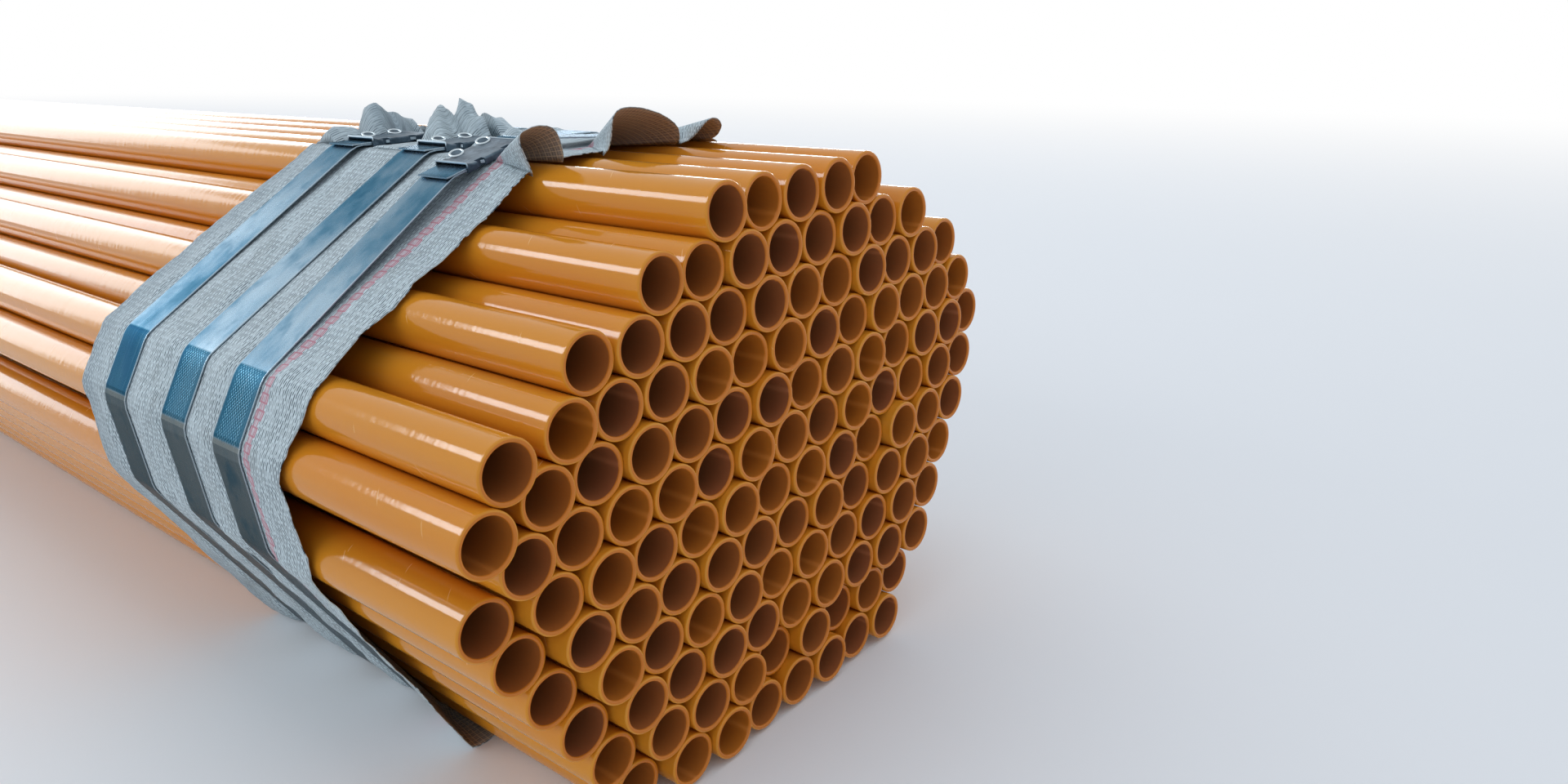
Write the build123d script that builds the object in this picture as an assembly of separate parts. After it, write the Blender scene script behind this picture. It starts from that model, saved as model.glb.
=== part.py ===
from build123d import *
import os
from math import cos, hypot, radians, sin, sqrt

# Bundle of coated steel pipes, strapped over wraps of woven fabric.
# X runs across the bundle, Y along the pipes and Z up, in millimetres.
# The strapped end with the ruffled wrap points to -Y, and the origin is the middle of the footprint.

# Pipe
PIPE_OD = 33.7
PIPE_WALL = 2.9
PIPE_LENGTH = 6000.0
RIM_RADIUS = 1.0  # rounding of the coated rims
PIPE_GAP = 0.3  # clearance between neighbouring pipes

# Each level row from the floor up: its first place in pipe pitches, and how many pipes it has
ROWS = [
    (-5.0, 8),
    (-5.5, 9),
    (-6.0, 10),
    (-6.5, 11),
    (-7.0, 12),
    (-7.5, 13),
    (-7.0, 13),
    (-7.5, 14),
    (-7.0, 13),
    (-5.5, 11),
    (-4.0, 8),
    (-2.5, 5),
]
ROLL_ANGLE = 136.0  # where the rolled pipe lies round the pipe below it, in degrees from +X
LEFT_SPREAD = 3.0  # how far the left edge of the lower rows stands off

# How far pipe ends lie behind the common end plane; less than nothing stands proud
END_SCATTER = 1.8
LEFT_SET_BACK = 11.0
RIGHT_PROUD = 3.5
ROLLED_PROUD = 7.0
SHORT_OF_FLUSH = {(1, 4): 5.0, (1, 6): 6.0, (1, 8): 5.0, (7, 13): 5.0, (8, 12): 6.0, (9, 10): 8.0}

# Wrap of woven fabric
WRAP_THICKNESS = 0.8
WRAP_CLEARANCE = 0.3  # wrap to pipes
WRAP_START = 141.0  # from the end plane to the wrap's near edge
WRAP_WIDTH = 274.0

# Steel strap and its seal
STRAP_WIDTH = 32.0
STRAP_THICKNESS = 1.0
STRAP_CLEARANCE = 0.2  # strap to wrap
STRAP_TAIL = 15.0  # free end past the seal
STRAP_PLACES = (207.0, 275.0, 361.0)  # from the end plane to each strap's middle
SEAL_LENGTH = 44.0
SEAL_WALL = 1.2
SEAL_CLEARANCE = 0.15
SEAL_ALONG = (0.0, 27.0, 24.0)  # from the top row's first pipe to each seal's middle
SEAL_TILT = (15.0, 0.0, 0.0)
NOTCH_LENGTH = 6.0
NOTCH_DEPTH = 3.5
NOTCH_SPREAD = 22.0  # between the two crimped notches on each edge

# Ruffles where the spare fabric stands up on top: distance across from the top row's first pipe,
# distance from the end plane, half width, height, length, and where the mouth faces
RUFFLE_THICKNESS = 1.0
NEAR_RUFFLES = [
    (-6.0, 136.0, 12.0, 24.0, 50.0, "end"),
    (71.0, 122.0, 31.0, 31.0, 64.0, "end"),
    (118.0, 112.0, 10.0, 18.0, 66.0, "end"),
    (42.0, 241.0, 12.0, 14.0, 40.0, "side"),
    (48.0, 318.0, 17.0, 31.0, 62.0, "side"),
    (30.0, 396.0, 15.0, 29.0, 55.0, "side"),
]
PLAIN_RUFFLES = [
    (60.0, 125.0, 20.0, 18.0, 66.0, "end"),
    (52.0, 318.0, 14.0, 16.0, 55.0, "side"),
]
RUFFLE_TIP = 0.3  # width of a ruffle's closed tip, as a share of its mouth

WIDEST_ROW = max(range(len(ROWS)), key=lambda level: ROWS[level][1])
FOOT_ROW = WIDEST_ROW - 1  # the outermost left pipe has rolled down over this row
PITCH = PIPE_OD + PIPE_GAP
ROW_RISE = PITCH * sin(radians(60))
WRAP_INNER = PIPE_OD / 2 + WRAP_CLEARANCE
WRAP_OUTER = WRAP_INNER + WRAP_THICKNESS
STRAP_INNER = WRAP_OUTER + STRAP_CLEARANCE
STRAP_OUTER = STRAP_INNER + STRAP_THICKNESS


def rolled_place(foot):
    """Centre of a pipe that has rolled down round the pipe at foot."""
    angle = radians(ROLL_ANGLE)
    return foot[0] + PITCH * cos(angle), foot[1] + PITCH * sin(angle)


def pocket_place(left, right):
    """Centre of a pipe that lies in the pocket on top of two others."""
    across, up = right[0] - left[0], right[1] - left[1]
    span = hypot(across, up)
    height = sqrt(PITCH**2 - (span / 2) ** 2)
    middle_x, middle_z = (left[0] + right[0]) / 2, (left[1] + right[1]) / 2
    return middle_x - up / span * height, middle_z + across / span * height


def stack_rows():
    """Centres of all pipes, row by row from the floor up, as (x, z)."""
    rows = []
    for level, (first, count) in enumerate(ROWS):
        rows.append([((first + place) * PITCH, level * ROW_RISE) for place in range(count)])
    for row in rows[:FOOT_ROW]:
        row[0] = (row[0][0] - LEFT_SPREAD, row[0][1])
    above, second = rows[FOOT_ROW + 1], rows[FOOT_ROW + 2]
    above[0] = rolled_place(rows[FOOT_ROW][0])
    second[0] = pocket_place(above[0], above[1])
    left = min(x for row in rows for x, z in row)
    right = max(x for row in rows for x, z in row)
    middle = (left + right) / 2
    return [[(x - middle, z + STRAP_OUTER) for x, z in row] for row in rows]


def set_back(level, place):
    """How far one pipe's end lies behind the common end plane."""
    distance = END_SCATTER * sin(5.0 * level + 2.3 * place)
    if place == 0 and level < FOOT_ROW:
        distance += LEFT_SET_BACK
    if place == 0 and level in (FOOT_ROW + 1, FOOT_ROW + 2):
        distance -= ROLLED_PROUD
    if place >= ROWS[level][1] - 3 and 2 <= level < FOOT_ROW:
        distance -= RIGHT_PROUD
    return distance + SHORT_OF_FLUSH.get((level, place), 0.0)


def corners(points):
    """The points that a rubber band round them all would touch, anticlockwise."""

    def chain(ordered):
        kept = []
        for point in ordered:
            while len(kept) > 1 and turn(kept[-2], kept[-1], point) <= 0:
                kept.pop()
            kept.append(point)
        return kept[:-1]

    def turn(a, b, c):
        return (b[0] - a[0]) * (c[1] - b[1]) - (b[1] - a[1]) * (c[0] - b[0])

    ordered = sorted(points)
    return chain(ordered) + chain(ordered[::-1])


def band(points, inner, outer, start, width):
    """A closed band round the pipes at points, between two distances from their centres."""
    core = make_face(Polyline(*corners(points), close=True))
    ring = offset(core, outer, kind=Kind.ARC) - offset(core, inner, kind=Kind.ARC)
    return extrude(Plane.XZ.offset(-start) * ring, amount=-width)


def make_pipe():
    """One pipe along Y with its near end at y = 0."""
    tube = Circle(PIPE_OD / 2) - Circle(PIPE_OD / 2 - PIPE_WALL)
    pipe = extrude(Plane.XZ * tube, amount=-PIPE_LENGTH)
    return fillet(pipe.edges().filter_by(GeomType.CIRCLE), RIM_RADIUS)


def seal_frame(start, index):
    """Plane at a seal's middle: x along the strap, y along the pipes, z out of the bundle."""
    x, z = TOP_PIPE[0] + SEAL_ALONG[index], TOP_PIPE[1]
    tilt = radians(SEAL_TILT[index])
    lift = STRAP_INNER + SEAL_WALL + SEAL_CLEARANCE
    middle = (x - lift * sin(tilt), start, z + lift * cos(tilt))
    return Plane(origin=middle, x_dir=(cos(tilt), 0, sin(tilt)), z_dir=(-sin(tilt), 0, cos(tilt)))


def seal_seats(frame):
    """Two points that the strap is led over, so that it runs straight through its seal."""
    seats = []
    for side in (-0.5, 0.5):
        seat = frame.from_local_coords((side * (SEAL_LENGTH + STRAP_TAIL), 0, -STRAP_INNER))
        seats.append((seat.X, seat.Z))
    return seats


def notch_cutters(frame):
    """The four places where the crimping tool bites the edges of strap and seal."""
    reach = STRAP_WIDTH / 2 + SEAL_CLEARANCE + SEAL_WALL
    cutters = []
    for along in (-NOTCH_SPREAD / 2, NOTCH_SPREAD / 2):
        for side in (-1, 1):
            place = Location((along, side * reach, STRAP_THICKNESS))
            cutters.append(frame.location * place * Box(NOTCH_LENGTH, 2 * NOTCH_DEPTH, 8 * SEAL_WALL))
    return cutters


def make_strap(frame, start):
    """One strap: a closed band, with its free end lapped over it through the seal."""
    ring = band(
        PIPE_PLACES + seal_seats(frame), STRAP_INNER, STRAP_OUTER, start - STRAP_WIDTH / 2, STRAP_WIDTH
    )
    lap_length = SEAL_LENGTH + STRAP_TAIL + SEAL_WALL
    lap = Box(lap_length, STRAP_WIDTH, STRAP_THICKNESS)
    lap = frame.location * Location((SEAL_WALL - STRAP_TAIL / 2, 0, 1.5 * STRAP_THICKNESS)) * lap
    return ring + lap - notch_cutters(frame)


def make_seal(frame):
    """One folded steel sleeve round the two layers of its strap, crimped at four places."""
    inner_width = STRAP_WIDTH + 2 * SEAL_CLEARANCE
    inner_height = 2 * (STRAP_THICKNESS + SEAL_CLEARANCE)
    sleeve = Box(SEAL_LENGTH, inner_width + 2 * SEAL_WALL, inner_height + 2 * SEAL_WALL)
    sleeve = fillet(sleeve.edges().filter_by(Axis.X), SEAL_WALL)
    sleeve -= Box(2 * SEAL_LENGTH, inner_width, inner_height)
    sleeve = frame.location * Location((0, 0, STRAP_THICKNESS)) * sleeve
    return sleeve - notch_cutters(frame)


def ruffle_shell(half_width, height, length, swell):
    """A half cone along Y with its open mouth at y = 0, grown by swell all round."""
    mouth = Plane.XZ * Ellipse(half_width + swell, height + swell)
    tip = Plane.XZ.offset(-length) * Ellipse(
        half_width * RUFFLE_TIP + swell, height * RUFFLE_TIP + swell
    )
    return loft([mouth, tip])


def add_ruffles(wrap, ruffles, end_plane, direction):
    """The wrap with its spare fabric standing up in arches above the top row."""
    floor_z = TOP_PIPE[1] + WRAP_INNER
    room = Box(
        PIPE_LENGTH, PIPE_LENGTH, PIPE_OD * 4, align=(Align.CENTER, Align.CENTER, Align.MIN)
    )
    for across, distance, half_width, height, length, faces in ruffles:
        turn = {"end": 0 if direction > 0 else 180, "side": -90}[faces]
        place = Location(
            (TOP_PIPE[0] + across, end_plane + direction * distance, floor_z), (0, 0, turn)
        )
        arch = ruffle_shell(half_width, height, length, 0)
        hollow = place * ruffle_shell(half_width, height, length, -RUFFLE_THICKNESS)
        above = Location((0, 0, floor_z)) * room
        wrap = wrap + ((place * arch) & above) - (hollow & above)
    return wrap


def make_wrap(ruffles, end_plane, direction):
    """One wrap: a band of fabric round the pipes, with its ruffles."""
    start = end_plane + (WRAP_START if direction > 0 else -WRAP_START - WRAP_WIDTH)
    wrap = band(PIPE_PLACES, WRAP_INNER, WRAP_OUTER, start, WRAP_WIDTH)
    return add_ruffles(wrap, ruffles, end_plane, direction)


def write(part, name):
    """Write one named piece of the bundle."""
    part.label = name
    export_step(part, f"parts/{name}.step")
    print(name, "solids", len(part.solids()))


PIPE_ROWS = stack_rows()
PIPE_PLACES = [place for row in PIPE_ROWS for place in row]
TOP_PIPE = PIPE_ROWS[-1][0]
SET_BACKS = [set_back(level, place) for level, row in enumerate(ROWS) for place in range(row[1])]
END_PLANE = -PIPE_LENGTH / 2 - (min(SET_BACKS) + max(SET_BACKS)) / 2
GROUP_MIDDLE = WRAP_START + WRAP_WIDTH / 2

# Each strapped place: the plane its distances start from, which way they run, and its ruffles
GROUPS = {
    "near": (END_PLANE, 1, NEAR_RUFFLES),
    "middle": (-GROUP_MIDDLE, 1, PLAIN_RUFFLES),
    "far": (END_PLANE + PIPE_LENGTH, -1, PLAIN_RUFFLES),
}

os.makedirs("parts", exist_ok=True)

one_pipe = make_pipe()
for level, row in enumerate(PIPE_ROWS):
    pipes = []
    for place, (x, z) in enumerate(row):
        pipes.append(Pos(x, END_PLANE + set_back(level, place), z) * one_pipe)
    write(Compound(children=pipes), f"pipe_row_{level + 1:02d}")

for group, (end_plane, direction, ruffles) in GROUPS.items():
    write(make_wrap(ruffles, end_plane, direction), f"wrap_{group}")
    for index, distance in enumerate(STRAP_PLACES):
        start = end_plane + direction * distance
        frame = seal_frame(start, index)
        write(make_strap(frame, start), f"strap_{group}_{index + 1}")
        write(make_seal(frame), f"seal_{group}_{index + 1}")
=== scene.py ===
# %% [markdown]
# # A strapped bundle of coated steel pipes
# The imported model gives every pipe, wrap, strap and seal its place. This lesson dresses it: 127 orange pipes on
# twelve rows, woven cloth round them at three places, and three crimped steel straps over each cloth.
# The frame is loaded first, and each part's box can be read from it.

# %% Load the frame
import math

import bmesh
import bpy
import numpy as np
from mathutils import Matrix, Vector, noise


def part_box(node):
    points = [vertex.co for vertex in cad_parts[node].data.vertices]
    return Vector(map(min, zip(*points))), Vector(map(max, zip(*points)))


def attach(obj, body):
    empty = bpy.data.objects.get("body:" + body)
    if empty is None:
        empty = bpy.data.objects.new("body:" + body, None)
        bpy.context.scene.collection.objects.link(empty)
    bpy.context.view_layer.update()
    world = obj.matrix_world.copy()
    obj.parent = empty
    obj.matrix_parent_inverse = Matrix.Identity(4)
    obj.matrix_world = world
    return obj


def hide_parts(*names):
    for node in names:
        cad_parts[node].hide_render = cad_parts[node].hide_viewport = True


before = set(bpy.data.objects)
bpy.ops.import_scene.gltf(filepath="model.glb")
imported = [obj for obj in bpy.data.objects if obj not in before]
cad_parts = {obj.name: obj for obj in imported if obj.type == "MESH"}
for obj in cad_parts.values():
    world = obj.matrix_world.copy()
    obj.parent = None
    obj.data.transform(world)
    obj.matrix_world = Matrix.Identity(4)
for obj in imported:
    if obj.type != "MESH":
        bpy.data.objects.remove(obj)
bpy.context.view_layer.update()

MM = 0.001

# %% [markdown]
# ## The camera
# The photograph was taken close to the strapped end, from a little above the top row and to its left.
# A camera can be made to track a target, but that gives it no roll. This one is free, so its turn is built from a
# heading, a dip and a slight roll.

# %% Place the camera
CAMERA_PLACE = Vector((-0.473001, -3.391659, 0.440159))
CAMERA_HEADING = 0.879230464
CAMERA_DIP = 0.336116
CAMERA_ROLL = 0.0339618
CAMERA_LENS = 24.587

ahead = Vector((
    math.sin(CAMERA_HEADING) * math.cos(CAMERA_DIP),
    math.cos(CAMERA_HEADING) * math.cos(CAMERA_DIP),
    -math.sin(CAMERA_DIP),
))
level_right = Vector((math.cos(CAMERA_HEADING), -math.sin(CAMERA_HEADING), 0))
level_down = ahead.cross(level_right)
image_right = level_right * math.cos(CAMERA_ROLL) + level_down * math.sin(CAMERA_ROLL)
image_down = level_down * math.cos(CAMERA_ROLL) - level_right * math.sin(CAMERA_ROLL)

camera = bpy.data.objects.new("camera", bpy.data.cameras.new("camera"))
camera.data.lens = CAMERA_LENS
camera.data.clip_start, camera.data.clip_end = 0.01, 200
camera.matrix_world = Matrix.Translation(CAMERA_PLACE) @ Matrix(
    (image_right, -image_down, -ahead)
).transposed().to_4x4()
bpy.context.scene.collection.objects.link(camera)
bpy.context.scene.camera = camera
print("the camera looks along", [round(part, 3) for part in ahead])

# %% [markdown]
# ## A bench for node trees
# Materials and geometry recipes are both trees of nodes, so one small class adds a node, sets it and joins it up.
# A second class wraps one output socket, and lets shader maths be written as ordinary Python sums.


# %% Node bench
class Bench:
    """Adds nodes to one tree. A socket is given a plain value, an output socket or an Amount."""

    def __init__(self, tree):
        self.tree = tree

    def node(self, kind, settings=None, sockets=None):
        made = self.tree.nodes.new(kind)
        for name, value in (settings or {}).items():
            setattr(made, name, value)
        for name, value in (sockets or {}).items():
            self.join(made.inputs[name], value)
        return made

    def join(self, socket, value):
        if isinstance(value, Amount):
            value = value.socket
        if isinstance(value, bpy.types.NodeSocket):
            self.tree.links.new(value, socket)
        else:
            socket.default_value = value


# %% Sums on sockets
class Amount:
    """A number that changes over a surface. Sums written with it become Math nodes."""

    def __init__(self, bench, socket):
        self.bench, self.socket = bench, socket

    def sum(self, operation, first, *rest):
        sockets = dict(enumerate((first, *rest)))
        made = self.bench.node("ShaderNodeMath", {"operation": operation}, sockets)
        return Amount(self.bench, made.outputs[0])

    def __add__(self, other):
        return self.sum("ADD", self, other)

    __radd__ = __add__

    def __sub__(self, other):
        return self.sum("SUBTRACT", self, other)

    def __rsub__(self, other):
        return self.sum("SUBTRACT", other, self)

    def __mul__(self, other):
        return self.sum("MULTIPLY", self, other)

    __rmul__ = __mul__

    def __truediv__(self, other):
        return self.sum("DIVIDE", self, other)

    def __mod__(self, other):
        return self.sum("FLOORED_MODULO", self, other)

    def __abs__(self):
        return self.sum("ABSOLUTE", self)

    def floor(self):
        return self.sum("FLOOR", self)

    def larger(self, other):
        return self.sum("MAXIMUM", self, other)

    def smaller(self, other):
        return self.sum("MINIMUM", self, other)

    def rise(self, low, high):
        """0 below low and 1 above high, with a smooth climb between them."""
        made = self.bench.node(
            "ShaderNodeMapRange",
            {"interpolation_type": "SMOOTHSTEP"},
            {"Value": self, "From Min": low, "From Max": high},
        )
        return Amount(self.bench, made.outputs[0])

    def fall(self, low, high):
        return 1 - self.rise(low, high)


# %% [markdown]
# ## Finishes
# Each finish starts from one Principled shader whose fixed numbers stay on its own sockets. Colours are written the
# way a paint chart gives them, from 0 to 255, and turned into the linear light values that Blender works in.


# %% Finish maker
def paint(red, green, blue):
    """A chart colour as linear light, with full alpha."""
    light = []
    for part in (red / 255, green / 255, blue / 255):
        light.append(part / 12.92 if part <= 0.04045 else ((part + 0.055) / 1.055) ** 2.4)
    return (*light, 1)


class Finish(Bench):
    """A material in the making: one shader, with whatever varies over the surface led into it."""

    def __init__(self, name, **fixed):
        self.material = bpy.data.materials.new(name)
        self.material.use_nodes = True
        super().__init__(self.material.node_tree)
        self.tree.nodes.clear()
        self.shader = self.node("ShaderNodeBsdfPrincipled", {}, fixed)
        self.out = self.node("ShaderNodeOutputMaterial", {}, {"Surface": self.shader.outputs[0]})

    def attribute(self, name):
        made = self.node("ShaderNodeAttribute", {"attribute_name": name})
        return Amount(self, made.outputs["Fac"])

    def object_place(self, stretch):
        """Object coordinates, stretched by a number for each axis."""
        place = self.node("ShaderNodeTexCoord").outputs["Object"]
        sockets = {0: place, 1: stretch}
        return self.node("ShaderNodeVectorMath", {"operation": "MULTIPLY"}, sockets).outputs[0]

    def point(self, x, y, z=0.0):
        return self.node("ShaderNodeCombineXYZ", {}, {0: x, 1: y, 2: z}).outputs[0]

    def cloth_place(self):
        """The piece's own UV map as two amounts in metres."""
        made = self.node("ShaderNodeUVMap", {"uv_map": "UVMap"})
        parts = self.node("ShaderNodeSeparateXYZ", {}, {0: made.outputs[0]})
        return Amount(self, parts.outputs[0]), Amount(self, parts.outputs[1])

    def clouds(self, place, detail=3.0, roughness=0.5):
        """Soft noise whose clouds are about one unit of the given place across."""
        sockets = {"Vector": place, "Scale": 1.0, "Detail": detail, "Roughness": roughness}
        return Amount(self, self.node("ShaderNodeTexNoise", {}, sockets).outputs[0])

    def body_clouds(self, stretch, detail=3.0, roughness=0.5):
        """Clouds fixed to the piece, so many to the metre along each axis."""
        return self.clouds(self.object_place(stretch), detail, roughness)

    def chance(self, place):
        """Three unlike random numbers for each place."""
        made = self.node("ShaderNodeTexWhiteNoise", {"noise_dimensions": "3D"}, {"Vector": place})
        parts = self.node("ShaderNodeSeparateColor", {}, {0: made.outputs["Color"]})
        return [Amount(self, parts.outputs[index]) for index in range(3)]

    def blend(self, share, first, second):
        """A colour between two others."""
        sockets = {"Factor": share, 6: first, 7: second}
        return self.node("ShaderNodeMix", {"data_type": "RGBA"}, sockets).outputs[2]

    def bump(self, height, distance, strength=1.0, under=None):
        sockets = {"Height": height, "Distance": distance, "Strength": strength}
        if under is not None:
            sockets["Normal"] = under
        return self.node("ShaderNodeBump", {}, sockets).outputs[0]

    def lead(self, **links):
        for name, value in links.items():
            self.join(self.shader.inputs[name.replace("_", " ")], value)


# %% [markdown]
# ## The coating
# The pipes carry a thick glossy orange coat. It has fine ripples across the pipe that fray the edges of every
# highlight, a few pale scratches from handling, and a matt, duller rim. Inside the bore only a mist of coating
# fades into dark mill scale. A picture of a pipe could be wrapped round it, but noise stays sharp from close by
# and leaves no two pipes alike. The pipe's own map gives the distance round and along it, in metres.

# %% Coating colours
PIPE_LENGTH = 6.0
ORANGE = paint(218, 146, 42)
DEEP_ORANGE = paint(214, 134, 34)
DULL_ORANGE = paint(206, 150, 74)
RIM_ORANGE = paint(204, 118, 34)
BORE_MIST = paint(198, 118, 34)
BORE_RUST = paint(168, 92, 56)
BORE_DARK = paint(122, 92, 58)
SCRATCH_PALE = paint(236, 190, 120)

coating = Finish(
    "pipe_coating",
    **{"Specular IOR Level": 0.24, "Coat Roughness": 0.05, "Coat IOR": 1.5},
)
around, along = coating.cloth_place()
inside = coating.attribute("inside")
tone = coating.attribute("tone")
drift = coating.body_clouds((9.0, 1.2, 9.0))
speckle = coating.body_clouds((60.0, 8.0, 60.0), 4.0)
shade = coating.blend(drift.rise(0.35, 0.7), ORANGE, DEEP_ORANGE)
shade = coating.blend(speckle.rise(0.5, 0.8) * 0.35, shade, DULL_ORANGE)
shade = coating.blend(tone * 0.3, shade, DEEP_ORANGE)
print("the coating's colours take", len(coating.tree.nodes), "nodes")

# %% [markdown]
# ### Scratches
# The pipe's map is cut into cells, and a random number for each cell decides whether a short scratch lies in it,
# where, and how far it turns. A scratch is a thin line that fades at its ends.

# %% Scratches
SCRATCH_CELL = (34 * MM, 52 * MM)  # round and along the pipe
SCRATCH_EDGE = (0.12 * MM, 0.34 * MM)
SCRATCH_ENDS = (1.5 * MM, 4.8 * MM)

cell_u = around / SCRATCH_CELL[0] + tone * 37.0
cell_v = along / SCRATCH_CELL[1] + tone * 91.0
pick_u, pick_v, pick_turn = coating.chance(coating.point(cell_u.floor(), cell_v.floor(), 3.0))
off_u = (cell_u % 1.0 - 0.3 - pick_u * 0.4) * SCRATCH_CELL[0]
off_v = (cell_v % 1.0 - 0.3 - pick_v * 0.4) * SCRATCH_CELL[1]
across_it = abs(off_v + off_u * (pick_turn - 0.3) * 1.2)
scratch = across_it.fall(*SCRATCH_EDGE) * abs(off_u).fall(*SCRATCH_ENDS)
scratch = scratch * pick_turn.rise(0.42, 0.46) * inside.fall(0.1, 0.3)
shade = coating.blend(scratch * 0.75, shade, SCRATCH_PALE)
print("with scratches it has", len(coating.tree.nodes), "nodes")

# %% [markdown]
# ### Bore, ripples and gloss
# The pipe's attribute "inside" runs from 0 on the outer wall over the rim to 1 in the bore, and blends one finish
# into the next. Three bumps lie on each other: ripples across the pipe, long swells, and a fine orange peel.

# %% Bore, ripples and gloss
BORE_FADE = 110 * MM  # how deep the mist of coating reaches into the bore
RIPPLES = (50.0, 230.0)  # clouds to the metre, round and along the pipe
SWELLS = (45.0, 22.0)
RIPPLE_HEIGHT = 0.1 * MM
SWELL_HEIGHT = 0.5 * MM
PEEL_HEIGHT = 0.06 * MM

from_end = along.smaller(PIPE_LENGTH - along)
deep = (from_end + tone * 0.02 + speckle * 0.03).rise(0.0, BORE_FADE)
bore_tone = coating.blend(deep, coating.blend(tone, BORE_MIST, BORE_RUST), BORE_DARK)
shade = coating.blend(inside.rise(0.12, 0.3), shade, RIM_ORANGE)
shade = coating.blend(inside.rise(0.8, 0.95), shade, bore_tone)

ripple = coating.clouds(coating.point(around * RIPPLES[0], along * RIPPLES[1], tone * 20.0), 2.0)
swell = coating.clouds(coating.point(around * SWELLS[0], along * SWELLS[1], tone * 20.0), 1.0)
peel = coating.body_clouds((700.0, 700.0, 700.0), 2.0)
relief = coating.bump(ripple, RIPPLE_HEIGHT)
relief = coating.bump(swell, SWELL_HEIGHT, 0.3, relief)
relief = coating.bump(peel + inside * speckle * 4.0, PEEL_HEIGHT, 0.5, relief)
gloss = 0.07 + speckle * 0.08 + scratch * 0.3 + inside.rise(0.7, 0.9) * 0.35
coating.lead(Base_Color=shade, Roughness=gloss, Normal=relief)
coating.lead(Coat_Weight=inside.fall(0.7, 0.9) * 0.1)
print("the whole coating has", len(coating.tree.nodes), "nodes")

# %% [markdown]
# ## One pipe
# Every pipe is the same, so one is modelled and the rest are copies. A cylinder could be hollowed out, but its
# rims would still need rounding, so the wall is a profile led round the axis: outside, rounded near rim, bore,
# rounded far rim. Two close rings beside each rim hold the shading of the long straight walls still. A low weld
# bead runs along the bore.

# %% Profile of the pipe's wall
PIPE_RADIUS = 16.85 * MM
BORE_RADIUS = 13.95 * MM
RIM_ROUNDING = 1.0 * MM
FACETS = 88
BEAD_HEIGHT = 0.55 * MM
BEAD_HALF_WIDTH = 1.3 * MM


def rim_profile(end, into):
    """Points (radius, place along, inside share) over one rounded rim, from the outside to the bore."""
    holding = end + into * 1.5 * RIM_ROUNDING
    points = [(PIPE_RADIUS, holding, 0.0)]
    for wall, side, turns, shares in (
        (PIPE_RADIUS, -1, (0, 45, 90), (0.0, 0.1, 0.2)),
        (BORE_RADIUS, 1, (90, 45, 0), (0.7, 0.75, 0.8)),
    ):
        for turn, share in zip(turns, shares):
            reach, drop = math.cos(math.radians(turn)), math.sin(math.radians(turn))
            radius = wall + side * RIM_ROUNDING * (1 - reach)
            points.append((radius, end + into * RIM_ROUNDING * (1 - drop), share))
    return points + [(BORE_RADIUS, holding, 1.0)]


pipe_profile = rim_profile(0, 1) + rim_profile(PIPE_LENGTH, -1)[::-1]
print("the pipe's profile has", len(pipe_profile), "points")


# %% Small helpers for meshes
def mark_points(mesh, name, values):
    """Gives every point of a mesh a number of its own, for a finish to read."""
    mesh.attributes.new(name, "FLOAT", "POINT").data.foreach_set("value", values)


def lay_map(mesh, corners):
    """Gives every face corner its place on the piece's own map, in metres."""
    mesh.uv_layers.new(name="UVMap").uv.foreach_set("vector", np.array(corners, np.float32).ravel())


def face_out(mesh):
    """Turns every face of a closed mesh outwards."""
    shape = bmesh.new()
    shape.from_mesh(mesh)
    bmesh.ops.recalc_face_normals(shape, faces=shape.faces)
    shape.to_mesh(mesh)
    shape.free()


# %% Model one pipe
def pipe_points():
    """The profile's points at every facet, and the inside share of each."""
    places, insides = [], []
    for step in range(FACETS):
        turn = 2 * math.pi * step / FACETS
        off_bead = min(step, FACETS - step) / FACETS * 2 * math.pi * BORE_RADIUS
        bead = BEAD_HEIGHT * math.exp(-((off_bead / BEAD_HALF_WIDTH) ** 2))
        for radius, place, share in pipe_profile:
            radius -= bead if share == 1.0 else 0
            places.append((radius * math.cos(turn), place, radius * math.sin(turn)))
            insides.append(share)
    return places, insides


def model_pipe():
    count = len(pipe_profile)
    places, insides = pipe_points()
    faces, maps = [], []
    for step in range(FACETS):
        for index in range(count):
            ring, after = step * count, (step + 1) % FACETS * count
            other = (index + 1) % count
            faces.append((ring + index, ring + other, after + other, after + index))
            wide = [2 * math.pi * PIPE_RADIUS * (step + extra) / FACETS for extra in (0, 0, 1, 1)]
            long = [pipe_profile[which][1] for which in (index, other, other, index)]
            maps += list(zip(wide, long))
    mesh = bpy.data.meshes.new("one_pipe")
    mesh.from_pydata(places, [], faces)
    lay_map(mesh, maps)
    mark_points(mesh, "inside", insides)
    mesh.shade_smooth()
    return bpy.data.objects.new("one_pipe", mesh)


one_pipe = model_pipe()
face_out(one_pipe.data)
print("one pipe has", len(one_pipe.data.polygons), "faces")

# %% [markdown]
# ## Where the pipes lie
# The frame's own meshes say where each pipe lies. A CAD node comes as loose triangles, so a copy is merged first,
# and each island of joined faces is then one pipe: the middle of its points is its axis, and its lowest y its end.


# %% Measure the rows
def islands(node):
    """Points of each separate solid in a CAD node."""
    shape = bmesh.new()
    shape.from_mesh(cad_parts[node].data)
    bmesh.ops.remove_doubles(shape, verts=shape.verts, dist=1e-5)
    waiting, found = set(shape.verts), []
    while waiting:
        group, edge = [], [waiting.pop()]
        while edge:
            vertex = edge.pop()
            group.append(vertex.co.copy())
            for link in vertex.link_edges:
                other = link.other_vert(vertex)
                if other in waiting:
                    waiting.remove(other)
                    edge.append(other)
        found.append(group)
    shape.free()
    return found


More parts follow.
